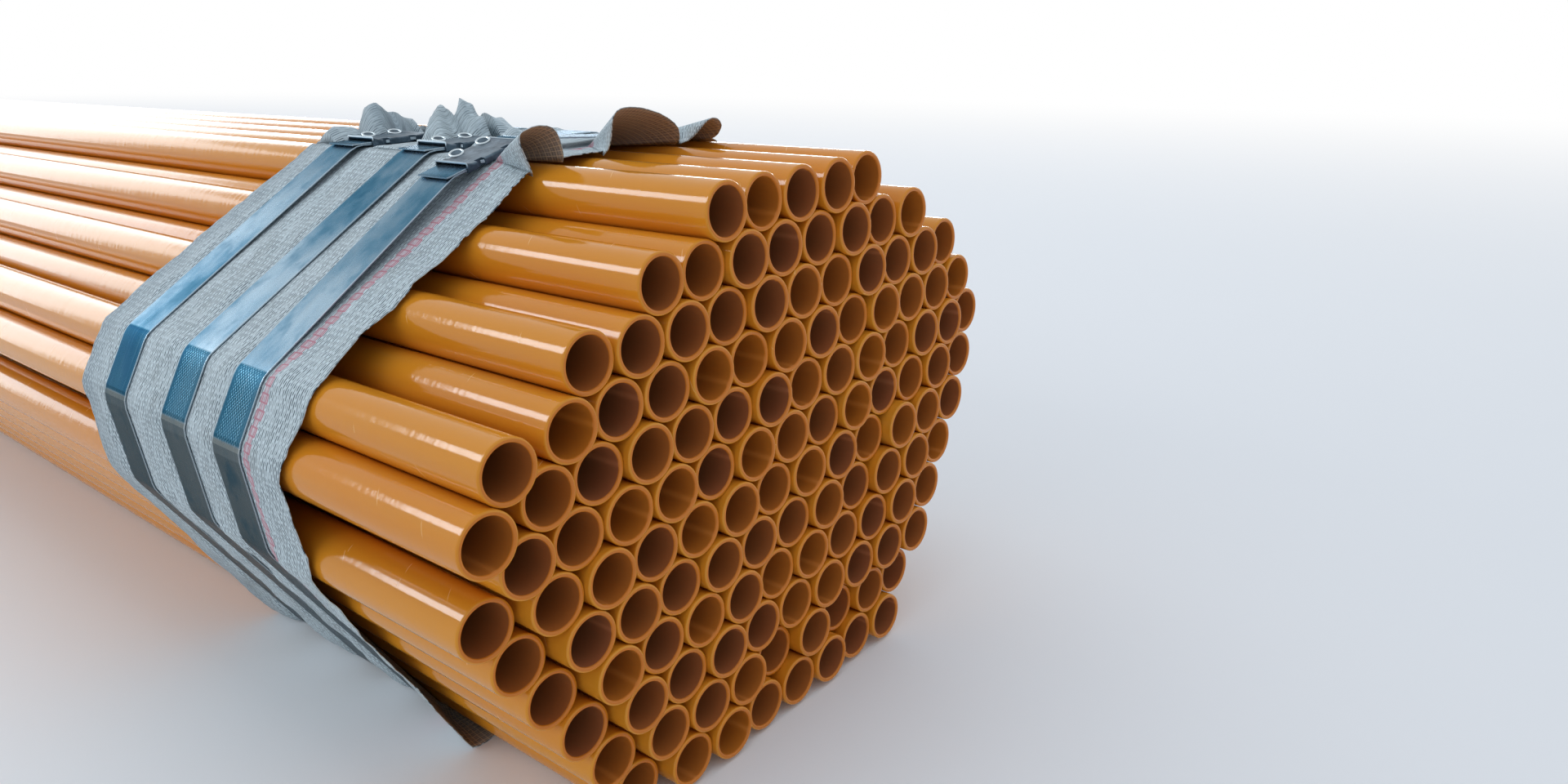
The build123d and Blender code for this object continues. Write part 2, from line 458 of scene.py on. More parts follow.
ROW_NODES = sorted(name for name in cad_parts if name.startswith("pipe_row"))
pipe_rows = {}
for node in ROW_NODES:
    ends = []
    for group in islands(node):
        points = np.array(group)
        ends.append((points[:, 0].mean(), points[:, 1].min(), points[:, 2].mean()))
    pipe_rows[node] = sorted(ends)
pipe_places = [(x, z) for ends in pipe_rows.values() for x, y, z in ends]
top_pipe = pipe_rows[ROW_NODES[-1]][0]
print(len(pipe_places), "pipes on", len(pipe_rows), "rows")

# %% [markdown]
# ## Rows of pipes
# A row is the same pipe again and again, which is work for Geometry Nodes: the recipe puts a copy on every end
# point, rolls it by its own random angle, gives it its own tone, and makes the copies real. The evaluated row is
# then kept as a plain mesh, which takes the place of the CAD row.


# %% Recipe bench
class Recipe(Bench):
    """A Geometry Nodes tree with named inputs, and a way to run it on a piece."""

    def __init__(self, name, inputs):
        self.group = bpy.data.node_groups.new(name, "GeometryNodeTree")
        super().__init__(self.group)
        self.sockets = {}
        for label, kind in {"Geometry": "NodeSocketGeometry", **inputs}.items():
            made = self.group.interface.new_socket(label, in_out="INPUT", socket_type=kind)
            self.sockets[label] = made.identifier
        self.group.interface.new_socket("Geometry", in_out="OUTPUT", socket_type="NodeSocketGeometry")
        self.given = self.node("NodeGroupInput").outputs

    def end(self, geometry, material):
        real = self.node("GeometryNodeRealizeInstances", {}, {0: geometry})
        done = self.node("GeometryNodeSetMaterial", {}, {0: real.outputs[0], "Material": material})
        self.node("NodeGroupOutput", {}, {0: done.outputs[0]})

    def cook(self, piece, values):
        """Runs the recipe on a piece and keeps the result as its plain mesh."""
        modifier = piece.modifiers.new(self.group.name, "NODES")
        modifier.node_group = self.group
        for label, value in values.items():
            modifier[self.sockets[label]] = value
        if piece.name not in bpy.context.scene.collection.objects:
            bpy.context.scene.collection.objects.link(piece)
        bpy.context.view_layer.update()
        worked_out = piece.evaluated_get(bpy.context.evaluated_depsgraph_get())
        result = bpy.data.meshes.new_from_object(worked_out)
        piece.modifiers.remove(modifier)
        piece.data = result
        result.name = piece.name
        return piece


# %% Row recipe
row_recipe = Recipe(
    "row_of_pipes",
    {"Pipe": "NodeSocketObject", "Seed": "NodeSocketInt", "Coating": "NodeSocketMaterial"},
)
given = row_recipe.given
pipe_copy = row_recipe.node("GeometryNodeObjectInfo", {}, {"Object": given["Pipe"]})
roll = row_recipe.node(
    "FunctionNodeRandomValue",
    {"data_type": "FLOAT"},
    {2: 0.0, 3: 2 * math.pi, "Seed": given["Seed"]},
)
rolled = row_recipe.node("ShaderNodeCombineXYZ", {}, {1: roll.outputs[1]})
copies = row_recipe.node(
    "GeometryNodeInstanceOnPoints",
    {},
    {
        "Points": given["Geometry"],
        "Instance": pipe_copy.outputs["Geometry"],
        "Rotation": rolled.outputs[0],
    },
)
own_tone = row_recipe.node("FunctionNodeRandomValue", {"data_type": "FLOAT"}, {"Seed": given["Seed"]})
toned = row_recipe.node(
    "GeometryNodeStoreNamedAttribute",
    {"data_type": "FLOAT", "domain": "INSTANCE"},
    {"Geometry": copies.outputs[0], "Name": "tone", "Value": own_tone.outputs[1]},
)
row_recipe.end(toned.outputs[0], given["Coating"])
print("the row recipe has", len(row_recipe.tree.nodes), "nodes")

# %% Lay the rows
bpy.context.scene.collection.objects.link(one_pipe)
for number, (node, ends) in enumerate(pipe_rows.items(), 1):
    points = bpy.data.meshes.new(node)
    points.from_pydata([Vector(end) for end in ends], [], [])
    row = bpy.data.objects.new(f"coated_pipes_{number:02d}", points)
    row_recipe.cook(row, {"Pipe": one_pipe, "Seed": number, "Coating": coating.material})
    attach(row, "root")
    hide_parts(node)
bpy.data.objects.remove(one_pipe)
print("the last row has", len(row.data.polygons), "faces")

# %% [markdown]
# ## A rubber band round the bundle
# Straps and cloth all lie along the line that a rubber band would take round the pipes: straight from one outer
# pipe to the next, and round each of them in an arc. That line is worked out once for any distance from the
# pipes' middle lines, and every wrapped piece asks it for places and outward directions.


# %% Corners of the band
def outer_corners(points):
    """The points that a rubber band touches, anticlockwise as seen from the strapped end."""

    def turn(a, b, c):
        return (b[0] - a[0]) * (c[1] - b[1]) - (b[1] - a[1]) * (c[0] - b[0])

    def chain(ordered):
        kept = []
        for point in ordered:
            while len(kept) > 1 and turn(kept[-2], kept[-1], point) <= 1e-9:
                kept.pop()
            kept.append(point)
        return kept[:-1]

    ordered = sorted(points)
    return chain(ordered) + chain(ordered[::-1])


print("the band touches", len(outer_corners(pipe_places)), "pipes")

# %% Band line
BAND_STEP = 6 * MM
SEARCH_STEPS = 6000


class BandLine:
    """The closed line round some points, measured in metres from its start under the bundle."""

    def __init__(self, points, reach, bends=8):
        corners = outer_corners(points)
        lowest = min(corners, key=lambda corner: (round(corner[1], 4), abs(corner[0])))
        start = corners.index(lowest)
        corners = corners[start:] + corners[:start]
        places, turns = [], []

        def stop(at, turn):
            turns.append(turn)
            places.append((at[0] + reach * math.cos(turn), at[1] + reach * math.sin(turn)))

        for here, after in zip(corners, corners[1:] + corners[:1]):
            wide, high = after[0] - here[0], after[1] - here[1]
            heading = math.atan2(high, wide) - math.pi / 2
            if turns:
                sweep = (heading - turns[-1]) % (2 * math.pi)
                for step in range(bends):
                    stop(here, turns[-1] + sweep / bends)
            else:
                stop(here, heading)
            pieces = max(2, int(math.dist(here, after) / BAND_STEP))
            for step in range(1, pieces + 1):
                share = step / pieces
                stop((here[0] + wide * share, here[1] + high * share), turns[-1])
        first = turns[0] + 2 * math.pi
        for step in range(bends):
            stop(corners[0], turns[-1] + (first - turns[-1]) / (bends - step))
        self.x, self.z = np.array(places).T
        self.turn = np.array(turns)
        steps = np.hypot(np.diff(self.x), np.diff(self.z))
        self.s = np.concatenate([[0], np.cumsum(steps)])
        self.length = float(self.s[-1])

    def at(self, s, lift=0.0):
        """Place (x, z) and outward direction at distance s, lifted outwards."""
        s = np.mod(s, self.length)
        turn = np.interp(s, self.s, self.turn)
        x = np.interp(s, self.s, self.x) + lift * np.cos(turn)
        z = np.interp(s, self.s, self.z) + lift * np.sin(turn)
        return x, z, turn

    def nearest(self, x, z):
        """The distance s whose place is nearest to a point."""
        fine = np.linspace(0, self.length, SEARCH_STEPS, endpoint=False)
        at_x, at_z, _ = self.at(fine)
        return float(fine[np.argmin(np.hypot(at_x - x, at_z - z))])


CLOTH_REACH = PIPE_RADIUS + 0.7 * MM
cloth_line = BandLine(pipe_places, CLOTH_REACH)
print("round the bundle it is", round(cloth_line.length, 4), "metres")

# %% [markdown]
# ## Strap steel
# The straps are blued packing steel. It mirrors the pale surroundings softly, mottled by handling, with darker
# patches, faint lines along its length, and rows of small ticks where the tensioner's wheel gripped it. It is darker
# near the seals, and its colour carries painted shade: darkest on the left face, and grey where it turns under the
# bundle. Painting each face by hand would also do, but here every point carries the direction that it faces, and the
# finish reads that.

# %% Strap finish
# The strap's colour carries painted shade: darker on its left face, and grey where it turns under the bundle.
LEFT_FACE = (math.radians(123), math.radians(155))  # outward directions between which a strap faces left
FACE_BLEND = 0.1
UNDER_FACE_END = (5.3, 5.8)  # outward directions, in radians, over which the grey underside ends
PALE_EDGE_BAND = (14.9 * MM, 15.8 * MM)
GRIPPED_WIDTH = (10.5 * MM, 13 * MM)
TICK_LENGTH, TICK_ROW = 3.0 * MM, 1.4 * MM
STEEL_PALE = paint(182, 200, 212)
STEEL_BLUE = paint(124, 154, 174)
STEEL_TEAL = paint(48, 88, 108)
STEEL_UNDER_SHADE = paint(126, 130, 128)

strapping = Finish("strap_steel", **{"Specular IOR Level": 0.5, "Specular Tint": paint(120, 134, 144)})
run = strapping.attribute("run")
side = strapping.attribute("side")
facing = strapping.attribute("facing")
mottle = strapping.body_clouds((55.0, 70.0, 55.0), 5.0, 0.62)
patches = strapping.body_clouds((14.0, 30.0, 14.0))
lines = strapping.clouds(strapping.point(run * 6.0, side * 900.0))
# Masks of the faces that get painted shade, chosen by the way each point faces.
shaded_under_face = facing.rise(LEFT_FACE[1], LEFT_FACE[1] + FACE_BLEND)
shaded_left_face = facing.rise(LEFT_FACE[0], LEFT_FACE[0] + FACE_BLEND) * (1 - shaded_under_face)
shaded_under_face = shaded_under_face * facing.fall(*UNDER_FACE_END)
steel = strapping.blend((patches + mottle * 0.5).rise(0.5, 0.95), STEEL_PALE, STEEL_BLUE)
steel = strapping.blend(strapping.attribute("near_seal") * 0.4, steel, STEEL_TEAL)
# Painted shade on the left face, and painted grey shade on the underside.
steel = strapping.blend(shaded_left_face * 0.9, steel, STEEL_TEAL)
steel = strapping.blend(shaded_under_face * 0.95, steel, STEEL_UNDER_SHADE)
steel = strapping.blend(mottle.rise(0.5, 0.75) * 0.35, steel, STEEL_TEAL)
steel = strapping.blend(patches.rise(0.55, 0.8) * mottle.rise(0.4, 0.6) * 0.5, steel, STEEL_TEAL)
steel = strapping.blend(lines.rise(0.55, 0.8) * 0.25, steel, STEEL_PALE)
# Paler along both long edges of the strap.
steel = strapping.blend(abs(side).rise(*PALE_EDGE_BAND) * 0.5, steel, paint(190, 202, 210))
print("the strap's colours take", len(strapping.tree.nodes), "nodes")

# %% Wheel ticks and sheen of the straps
tick_u = (run / TICK_LENGTH + ((side / TICK_ROW).floor() % 2.0) * 0.5) % 1.0
tick_v = (side / TICK_ROW) % 1.0
tick = abs(tick_u - 0.5).fall(0.16, 0.26) * abs(tick_v - 0.5).fall(0.15, 0.3)
tick = tick * strapping.attribute("gripped") * shaded_left_face * abs(side).fall(*GRIPPED_WIDTH)
steel = strapping.blend(tick * 0.6, steel, paint(140, 180, 198))
relief = strapping.bump(patches, 1.2 * MM, 0.25)
relief = strapping.bump(mottle + tick * 2.0 + lines * 0.3, 0.06 * MM, 0.5, relief)
sheen = 0.18 + mottle * 0.18
strapping.lead(Base_Color=steel, Roughness=sheen, Normal=relief, Metallic=0.88 + patches * 0.1)
print("the strap finish has", len(strapping.tree.nodes), "nodes")

# %% [markdown]
# ## Straps
# A strap is one flat band led round the bundle: it starts under its seal, goes all the way round over the cloth,
# climbs onto its own start, runs through the seal and ends in a short free tail. A curve with a bevel would look
# the same, but its points would know nothing. Geometry Nodes sweep a flat section with softened corners along
# that line, and mark every point with its distance along and across.

# %% Strap sizes
STRAP_WIDTH = 32 * MM
STRAP_THICKNESS = 1.0 * MM
STRAP_CORNER = 0.3 * MM
STRAP_INNER = 18.15 * MM  # from the pipes' middle lines
STRAP_TAIL = 15 * MM
COVERED_START = 8 * MM
CLIMB = 7 * MM
LAP_LIFT = STRAP_THICKNESS * 1.03
TAIL_BEND = 6 * MM
TAIL_LIFT = 1.6 * MM
SEAL_LENGTH = 44 * MM
SEAL_WALL = 1.2 * MM
SEAL_CLEARANCE = 0.15 * MM
SEAL_ALONG = {1: 0.0, 2: 27 * MM, 3: 24 * MM}
SEAL_TILT = {1: math.radians(15), 2: 0.0, 3: 0.0}
NOTCH_SPREAD = 22 * MM
NOTCH_LENGTH = 6 * MM
NOTCH_DEPTH = 3.5 * MM
NOTCHED_WIDTH = STRAP_WIDTH / 2 - NOTCH_DEPTH  # from the middle line to the bottom of a notch
BITE_REACH = 4 * MM  # how far into the seal its bites take the strap's layers along
DARKEST = 30 * MM  # the length next to a seal that is darkest
DARK_BY_SEAL = {1: 240 * MM, 2: 220 * MM, 3: 120 * MM}  # how far from its seal each strap stays darker
print("a strap is", round(STRAP_WIDTH, 4), "wide and a seal", round(SEAL_LENGTH, 4), "metres long")

# %% Strap recipe
strap_recipe = Recipe(
    "swept_strap",
    {
        "Width": "NodeSocketFloat",
        "Thickness": "NodeSocketFloat",
        "Corner": "NodeSocketFloat",
        "Steel": "NodeSocketMaterial",
    },
)
given = strap_recipe.given
on_points = {"data_type": "FLOAT", "domain": "POINT"}
line = strap_recipe.node("GeometryNodeMeshToCurve", {}, {0: given["Geometry"]})
passed = strap_recipe.node("GeometryNodeSplineParameter")
marked = strap_recipe.node(
    "GeometryNodeStoreNamedAttribute",
    on_points,
    {"Geometry": line.outputs[0], "Name": "run", "Value": passed.outputs["Length"]},
)
flat = strap_recipe.node(
    "GeometryNodeCurvePrimitiveQuadrilateral", {}, {"Width": given["Width"], "Height": given["Thickness"]}
)
soft = strap_recipe.node(
    "GeometryNodeFilletCurve",
    {"mode": "POLY"},
    {"Curve": flat.outputs[0], "Radius": given["Corner"], "Count": 3},
)
where = strap_recipe.node("GeometryNodeInputPosition")
where_parts = strap_recipe.node("ShaderNodeSeparateXYZ", {}, {0: where.outputs[0]})
section = strap_recipe.node(
    "GeometryNodeStoreNamedAttribute",
    on_points,
    {"Geometry": soft.outputs[0], "Name": "side", "Value": where_parts.outputs[0]},
)
swept = strap_recipe.node(
    "GeometryNodeCurveToMesh",
    {},
    {"Curve": marked.outputs[0], "Profile Curve": section.outputs[0], "Fill Caps": True},
)
strap_recipe.end(swept.outputs[0], given["Steel"])
print("the strap recipe has", len(strap_recipe.tree.nodes), "nodes")


# %% Where a seal sits
class SealSeat:
    """Where a seal sits: its middle, the direction along the strap and the direction out of the bundle."""

    def __init__(self, number, y):
        tilt = SEAL_TILT[number]
        lift = STRAP_INNER + SEAL_WALL + SEAL_CLEARANCE
        self.along = Vector((math.cos(tilt), 0, math.sin(tilt)))
        self.out = Vector((-math.sin(tilt), 0, math.cos(tilt)))
        self.middle = Vector((top_pipe[0] + SEAL_ALONG[number], y, top_pipe[2])) + self.out * lift

    def place(self, along, across, out):
        """A point given by its distances along the strap, across it and out of the bundle."""
        return self.middle + self.along * along + Vector((0, across, 0)) + self.out * out

    def props(self):
        """Two points that lead the strap straight through the seal."""
        points = []
        for end in (-0.5, 0.5):
            point = self.place(end * (SEAL_LENGTH + STRAP_TAIL), 0, -STRAP_INNER)
            points.append((point.x, point.z))
        return points


def notch_places(hair):
    """Close pairs of places along the strap, a hair apart, at the four sides of the two notches."""
    places = []
    for sign in (-1, 1):
        for edge in (-1, 1):
            place = sign * NOTCH_SPREAD / 2 + edge * NOTCH_LENGTH / 2
            places += [place, place + edge * hair]
    return places


def in_notch(along):
    return any(abs(along - sign * NOTCH_SPREAD / 2) < NOTCH_LENGTH / 2 + 0.01 * MM for sign in (-1, 1))


# %% Line of a strap
def strap_line(seat):
    """One strap's points from covered start to free tail, with its band, its start and its seal's place."""
    line = BandLine(pipe_places + seat.props(), STRAP_INNER + STRAP_THICKNESS / 2, bends=2)
    seal_s = line.nearest(seat.middle.x, seat.middle.z)
    start = seal_s - SEAL_LENGTH / 2 - COVERED_START
    climb = start + line.length - CLIMB
    finish = seal_s + line.length + SEAL_LENGTH / 2 + STRAP_TAIL
    stations = {start, climb, climb + CLIMB, finish - TAIL_BEND, finish}
    for place in notch_places(0.05 * MM):
        stations.update((seal_s + place, seal_s + place + line.length))
    for lap in (-line.length, 0, line.length):
        stations.update(s for s in line.s + lap if start < s < finish)
    points, last = [], -1.0
    for s in sorted(stations):
        if s - last < 0.02 * MM:
            continue
        last = s
        lift = LAP_LIFT * min(1, max(0, (s - climb) / CLIMB))
        lift += TAIL_LIFT * max(0, (s - finish) / TAIL_BEND + 1) ** 2
        x, z, turn = line.at(s, lift)
        points.append(Vector((float(x), seat.middle.y, float(z))))
    return points, line, start, seal_s


# %% Lay the straps
def bite_strap(mesh, seat):
    """Draws the strap's edges in where the seal's notches are bitten."""
    for vertex in mesh.vertices:
        away = vertex.co - seat.middle
        if in_notch(away.dot(seat.along)) and away.dot(seat.out) > -BITE_REACH:
            vertex.co.y = seat.middle.y + max(-NOTCHED_WIDTH, min(NOTCHED_WIDTH, away.y))


def mark_strap(mesh, line, start, seal_s, number):
    """Marks every point with the way it faces, how near its seal it is and whether the wheel bit it."""
    runs = np.zeros(len(mesh.vertices), np.float32)
    mesh.attributes["run"].data.foreach_get("value", runs)
    turns = np.mod(np.interp(np.mod(runs + start, line.length), line.s, line.turn), 2 * math.pi)
    off_seal = np.abs(np.mod(runs + start - seal_s + line.length / 2, line.length) - line.length / 2)
    dark = DARK_BY_SEAL[number]
    mark_points(mesh, "facing", turns)
    mark_points(mesh, "near_seal", np.clip((dark - off_seal) / (dark - DARKEST), 0, 1))
    mark_points(mesh, "gripped", np.full(len(runs), 1.0 if number < 3 else 0.0))


def lay_strap(name, node, number):
    low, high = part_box(node)
    seat = SealSeat(number, (low.y + high.y) / 2)
    points, line, start, seal_s = strap_line(seat)
    path = bpy.data.meshes.new(name)
    path.from_pydata(points, [(index, index + 1) for index in range(len(points) - 1)], [])
    strap = bpy.data.objects.new(name, path)
    sizes = {"Width": STRAP_WIDTH, "Thickness": STRAP_THICKNESS, "Corner": STRAP_CORNER}
    strap_recipe.cook(strap, {**sizes, "Steel": strapping.material})
    strap.data.set_sharp_from_angle(angle=math.radians(8))
    bite_strap(strap.data, seat)
    mark_strap(strap.data, line, start, seal_s, number)
    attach(strap, "root")
    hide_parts(node)
    return strap, seat


GROUPS = ("near", "middle", "far")
seats = {}
for group in GROUPS:
    for number in (1, 2, 3):
        strap, seats[group, number] = lay_strap(
            f"steel_strap_{group}_{number}", f"strap_{group}_{number}", number
        )
print("a strap has", len(strap.data.polygons), "faces and is", round(strap.dimensions.y, 4), "metres wide")

# %% [markdown]
# ## Seals
# A seal is a short steel sleeve folded round both layers of the strap. The crimping tool has bitten two notches
# into each long edge, and on the far edge the bitten tongues stand up. The bites could be cut out with booleans,
# which leave ragged faces. Instead the section is led along the strap through close pairs of stations, and drawn
# in between them, so that the bites have sharp sides.

# %% Section of the sleeve
SEAL_FLARE = 2.4 * MM
SEAL_CROWN = 0.25 * MM
FLARE_LENGTH = 5 * MM
NOTCH_SWELL = 0.9 * MM


def seal_section():
    """Places (across, out) round the sleeve's outside, then round its inside."""
    outer, inner = [], []
    half = STRAP_WIDTH / 2 + SEAL_CLEARANCE
    rise = STRAP_THICKNESS + SEAL_CLEARANCE
    for side, top, start in ((1, 1, 0), (-1, 1, 90), (-1, -1, 180), (1, -1, 270)):
        for turn in (0, 30, 60, 90):
            angle = math.radians(start + turn)
            across = side * half + SEAL_WALL * math.cos(angle)
            outer.append((across, top * rise + SEAL_WALL * math.sin(angle)))
        inner.append((side * half, top * rise))
    return outer, inner


def sleeve_stations():
    """Places along the sleeve where its section is set."""
    ends = SEAL_LENGTH / 2
    halves = [sign * (ends - inwards) for inwards in (0, 1.5 * MM, FLARE_LENGTH) for sign in (-1, 1)]
    return sorted([*halves, 0, *notch_places(0.06 * MM)])


print("the sleeve's section is set at", len(sleeve_stations()), "places")


# %% Sleeve
def add_sleeve(shape, worn, seat):
    """The sleeve as rings of corners, outer and inner, joined by faces along it and round its two mouths."""
    ends, rings = SEAL_LENGTH / 2, []
    for station in sleeve_stations():
        near_end = max(0, (abs(station) - ends + FLARE_LENGTH) / FLARE_LENGTH)
        flare = SEAL_FLARE * near_end ** 2 * (1 if station < 0 else 0.4)
        crown = SEAL_CROWN * math.cos(math.pi * station / SEAL_LENGTH)
        ring = []
        for loop, swell in zip(seal_section(), (NOTCH_SWELL, 0)):
            reach, made = NOTCHED_WIDTH + swell, []
            for across, out in loop:
                if in_notch(station):
                    across = max(-reach, min(reach, across))
                if out > 0:
                    out += flare + crown
                corner = shape.verts.new(seat.place(station, across, out + STRAP_THICKNESS))
                corner[worn] = 1.0 if abs(abs(station) - ends) < 0.1 * MM and out > 0 else 0.0
                made.append(corner)
            ring.append(made)
        rings.append(ring)
    for here, after in zip(rings, rings[1:]):
        for near, far in zip(here, after):
            for index in range(len(near)):
                other = (index + 1) % len(near)
                shape.faces.new((near[index], near[other], far[other], far[index]))
    for ring in (rings[0], rings[-1]):
        for corner in range(4):
            quarter = ring[0][corner * 4:corner * 4 + 4]
            for first, second in zip(quarter, quarter[1:]):
                shape.faces.new((first, second, ring[1][corner]))
            following = (corner + 1) % 4
            shape.faces.new((quarter[-1], ring[0][following * 4], ring[1][following], ring[1][corner]))


# %% Bitten tongues
RING_PLACES = (-8 * MM, 14 * MM)
RING_STEPS, RING_SIDES = 18, 6
RING_SLOPE = 0.42
RING_MIDDLE = NOTCHED_WIDTH - 0.6 * MM
RING_LEVEL = STRAP_THICKNESS * 2 + SEAL_CLEARANCE + SEAL_WALL + 0.5 * MM


def add_ring(shape, worn, seat, along_it):
    """One bitten tongue: an oval ring that stands up from the far edge, closed by a sunken plate."""
    long, wide, thick = 4.7 * MM, 3.0 * MM, 0.55 * MM

    def corner(turn, swell, out):
        across = wide * math.sin(turn) * swell
        up = RING_LEVEL + (across + wide) * RING_SLOPE + out
        return shape.verts.new(seat.place(along_it + long * math.cos(turn) * swell, RING_MIDDLE + across, up))

    def join(here, after):
        for part in range(len(here)):
            other = (part + 1) % len(here)
            shape.faces.new((here[part], here[other], after[other], after[part]))

    turns = [2 * math.pi * step / RING_STEPS for step in range(RING_STEPS)]
    loops = []
    for turn in turns:
        angles = [2 * math.pi * part / RING_SIDES for part in range(RING_SIDES)]
        loops.append([
            corner(turn, 1 + thick * math.cos(angle) / wide, thick * math.sin(angle)) for angle in angles
        ])
        for made in loops[-1]:
            made[worn] = 1.0
    for here, after in zip(loops, loops[1:] + loops[:1]):
        join(here, after)
    plate = [[corner(turn, 0.9, -depth * MM) for turn in turns] for depth in (0.1, 0.6)]
    for rim in plate:
        shape.faces.new(rim)
    join(*plate)


# %% [markdown]
# ### Seal steel
# The seals are darker than the straps and duller, with paler lips and tongues. The points of those carry a
# mark, because the pale parts follow the shape there and noise alone would scatter it.

# %% Seal finish
sealing = Finish("seal_steel", **{"Specular IOR Level": 0.5})
mottle = sealing.body_clouds((90.0, 90.0, 90.0), 5.0, 0.6)
wear = sealing.body_clouds((260.0, 260.0, 260.0))
pale_edge = sealing.attribute("worn")
steel = sealing.blend(mottle.rise(0.3, 0.72), paint(92, 110, 124), paint(54, 68, 80))
steel = sealing.blend(wear.rise(0.55, 0.75) * 0.3, steel, paint(140, 156, 168))
# Paler on the marked lips and tongues.
steel = sealing.blend(pale_edge.rise(0.5, 1.0) * 0.85, steel, paint(206, 218, 224))
relief = sealing.bump(mottle + wear * 0.5, 0.3 * MM, 0.5)
sealing.lead(Base_Color=steel, Roughness=0.34 + mottle * 0.25, Metallic=0.8 + wear * 0.1, Normal=relief)
print("the seal finish has", len(sealing.tree.nodes), "nodes")


# %% Set the seals
def model_seal(name, seat):
    shape = bmesh.new()
    worn = shape.verts.layers.float.new("worn")
    add_sleeve(shape, worn, seat)
    for place in RING_PLACES:
        add_ring(shape, worn, seat, place)
    bmesh.ops.recalc_face_normals(shape, faces=shape.faces)
    mesh = bpy.data.meshes.new(name)
    shape.to_mesh(mesh)
    shape.free()
    mesh.materials.append(sealing.material)
    seal = bpy.data.objects.new(name, mesh)
    bpy.context.scene.collection.objects.link(seal)
    return seal


for (group, number), seat in seats.items():
    seal = model_seal(f"crimped_seal_{group}_{number}", seat)
    edges = seal.modifiers.new("edges", "BEVEL")
    edges.width, edges.segments, edges.limit_method = 0.25 * MM, 2, "ANGLE"
    edges.angle_limit = math.radians(50)
    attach(seal, "root")
    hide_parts(f"seal_{group}_{number}")
print("a seal has", len(seal.data.polygons), "faces before its edges are eased")

# %% [markdown]
# ## Woven cloth
# The cloth is woven from flat plastic tape, pale grey with short darker dashes where the tapes cross, and a coloured
# double thread near one edge. Its underside carries painted shade and a painted orange reflection of the pipes,
# grey-brown with a light grid. Real tapes would be far too many faces, so the weave is drawn by sums. It follows the
# cloth's own map, in metres round and along the bundle, so that it gathers in the ruffles as real cloth does.


# %% Weave
def off_middle(steps):
    """How far a repeating step is from its own middle: 0 there and a half where one step meets the next."""
    return abs(steps % 1.0 - 0.5)


def weave_cloth(name, pale, dark, tape, dash, depth):
    """A woven finish: rows of short dashes on flat tape, some of them deep and some hardly there."""
    cloth = Finish(name, **{"Specular IOR Level": 0.35, "Sheen Weight": 0.1, "Sheen Roughness": 0.4})
    around, along = cloth.cloth_place()

    def mapped(round_it, along_it, detail=3.0, roughness=0.5):
        """Clouds fixed to the cloth's map, so many to the metre each way."""
        return cloth.clouds(cloth.point(around * round_it, along * along_it), detail, roughness)

    wander = mapped(30.0, 30.0, 2.0)
    row = along / tape + wander * 0.9
    step = around / dash + (row.floor() % 2.0) * 0.5 + wander * 0.3
    pick, pick_two, pick_three = cloth.chance(cloth.point((step + 0.5).floor(), row.floor(), 1.0))
    mark = off_middle(step + pick * 0.2).fall(0.33, 0.45) * off_middle(row).fall(0.13, 0.27)
    mark = mark * (0.35 + pick_two.rise(0.0, 0.8) * 0.65) * (1.0 - cloth.attribute("standing") * 0.5)
    ridge = off_middle(row).fall(0.2, 0.5)
    dirt = cloth.body_clouds((24.0, 24.0, 24.0), 5.0, 0.6)
    rib_shade = mapped(40.0, 330.0, 3.0, 0.6)
    shade = cloth.blend(mark * depth, pale, dark)
    shade = cloth.blend(pick_three * 0.12, shade, dark)
    # Painted shade of the cloth's fine ribs, as dark streaks.
    shade = cloth.blend(rib_shade.rise(0.42, 0.68) * 0.16, shade, dark)
    shade = cloth.blend(dirt.rise(0.5, 0.8) * 0.35, shade, paint(140, 144, 142))
    relief = cloth.bump(mapped(16.0, 34.0, 2.0), 5 * MM, 0.4)
    relief = cloth.bump(mapped(60.0, 110.0, 3.0, 0.55), 0.9 * MM, 0.5, relief)
    relief = cloth.bump(ridge - mark * 0.8, 0.3 * MM, 0.9, relief)
    return cloth, around, along, shade, relief, dirt


# %% [markdown]
# ### Outside of the cloth
# The coloured thread runs beside the first strap as a row of boxes joined by two parallel lines, with a faint tint
# inside. It is drawn on the cloth's map: walls and caps make the boxes, and links join one box to the next.

# %% Outside of the cloth
THREAD_AT = 183 * MM  # from the end plane
BOX_PITCH = 9.6 * MM
BOX_REACH = 4.8 * MM  # from the thread's middle to the walls of a box
LINK_REACH = 2.8 * MM
BOX_HALF = 0.26  # of the pitch
THREAD_HALF = 0.45 * MM
THREAD_SOFT = 0.3 * MM
THREAD_ROSE = paint(178, 96, 114)
THREAD_TINT = paint(206, 160, 172)

outside, around, along, shade, relief, dirt = weave_cloth(
    "woven_cloth", paint(202, 217, 222), paint(58, 74, 86), 1.8 * MM, 8.0 * MM, 1.0
)
# Painted shade: the cloth darkens beyond the last strap, where it falls away from the light.
shade = outside.blend(along.rise(380 * MM, 415 * MM) * 0.3, shade, paint(90, 112, 128))
off_thread = abs(along - THREAD_AT)
off_box = off_middle(around / BOX_PITCH)
boxed = off_box.fall(BOX_HALF, BOX_HALF + 0.04)
wall = abs(off_thread - BOX_REACH).fall(THREAD_HALF, THREAD_HALF + THREAD_SOFT) * boxed
cap = abs(off_box - BOX_HALF).fall(0.04, 0.07) * off_thread.fall(5.0 * MM, 5.4 * MM)
link = abs(off_thread - LINK_REACH).fall(0.4 * MM, 0.7 * MM)
in_box = boxed * off_thread.fall(BOX_REACH, BOX_REACH + 0.4 * MM)
in_link = off_thread.fall(LINK_REACH, LINK_REACH + 0.4 * MM)
threaded = outside.attribute("threaded")
shade = outside.blend(in_box.larger(in_link) * 0.5 * threaded, shade, THREAD_TINT)
shade = outside.blend(wall.larger(cap).larger(link) * threaded * 0.8, shade, THREAD_ROSE)
outside.lead(Base_Color=shade, Roughness=0.62 + dirt * 0.2, Normal=relief)
print("the cloth's outside has", len(outside.tree.nodes), "nodes")

# %% Underside of the cloth
GRID_PITCH = (3.4 * MM, 4.2 * MM)  # round and along
